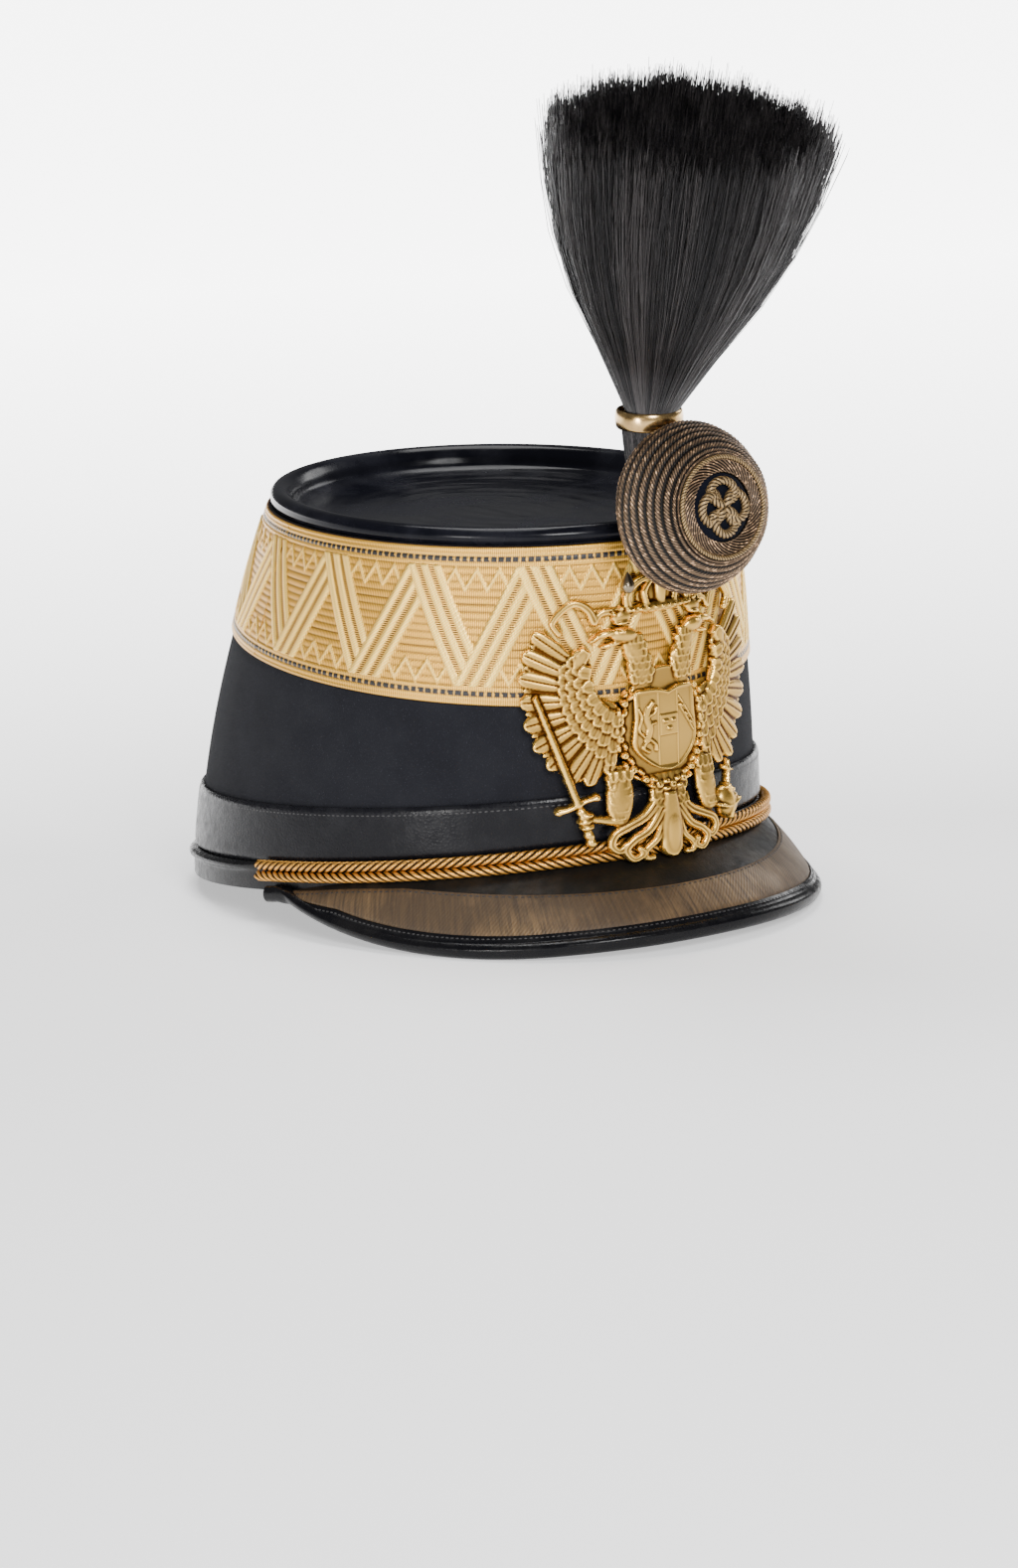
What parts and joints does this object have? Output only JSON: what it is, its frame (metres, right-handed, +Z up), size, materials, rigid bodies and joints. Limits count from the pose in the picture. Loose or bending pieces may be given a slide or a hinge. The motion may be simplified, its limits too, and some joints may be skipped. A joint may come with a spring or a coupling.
{
  "type": "shako hat",
  "caption": "Tapered parade shako with a sunken black top, broad gold lace, gilt eagle badge, leather peak, domed cockade and flared horsehair plume.",
  "frame": {"origin": "middle of the underside of the hat's box, on the surface that the hat stands on", "axes": "+Z up, -Y towards the front of the hat, +X towards the wearer's left"},
  "size_m": [0.1976, 0.3006, 0.2921],
  "materials": {
    "cloth": "matt navy-black wool cloth",
    "lacquer": "glossy black lacquered leather",
    "gold_lace": "woven gold thread lace",
    "band_leather": "satin black grained leather",
    "edge_leather": "glossy black leather",
    "peak_leather": "dull black leather with brown wear",
    "worn_lace": "tarnished bronze-brown lace",
    "gold_cord": "twisted gold thread",
    "gilt": "bright gilt metal",
    "bullion": "tarnished metal bullion thread",
    "velvet": "black velvet",
    "horsehair": "black horsehair",
    "ferrule_brass": "polished brass",
    "knob_metal": "darkened white metal"
  },
  "bodies": {
    "root": {"crown_body": "cloth", "crown_top": "lacquer", "lace_band": "gold_lace", "lower_band": "band_leather", "rim_binding": "edge_leather", "peak": "peak_leather", "peak_lace": "worn_lace", "peak_binding": "edge_leather", "cord_upper": "gold_cord", "cord_lower": "gold_cord", "eagle_badge": "gilt", "badge_shield": "gilt", "cockade_boss": "bullion", "cockade_ring": "bullion", "cockade_velvet": "velvet", "cockade_ornament": "bullion", "plume_socket": "band_leather", "plume_stem": "horsehair", "plume_ferrule": "ferrule_brass", "plume_hair": "horsehair", "loop_knob": "knob_metal"}
  },
  "joints": []
}
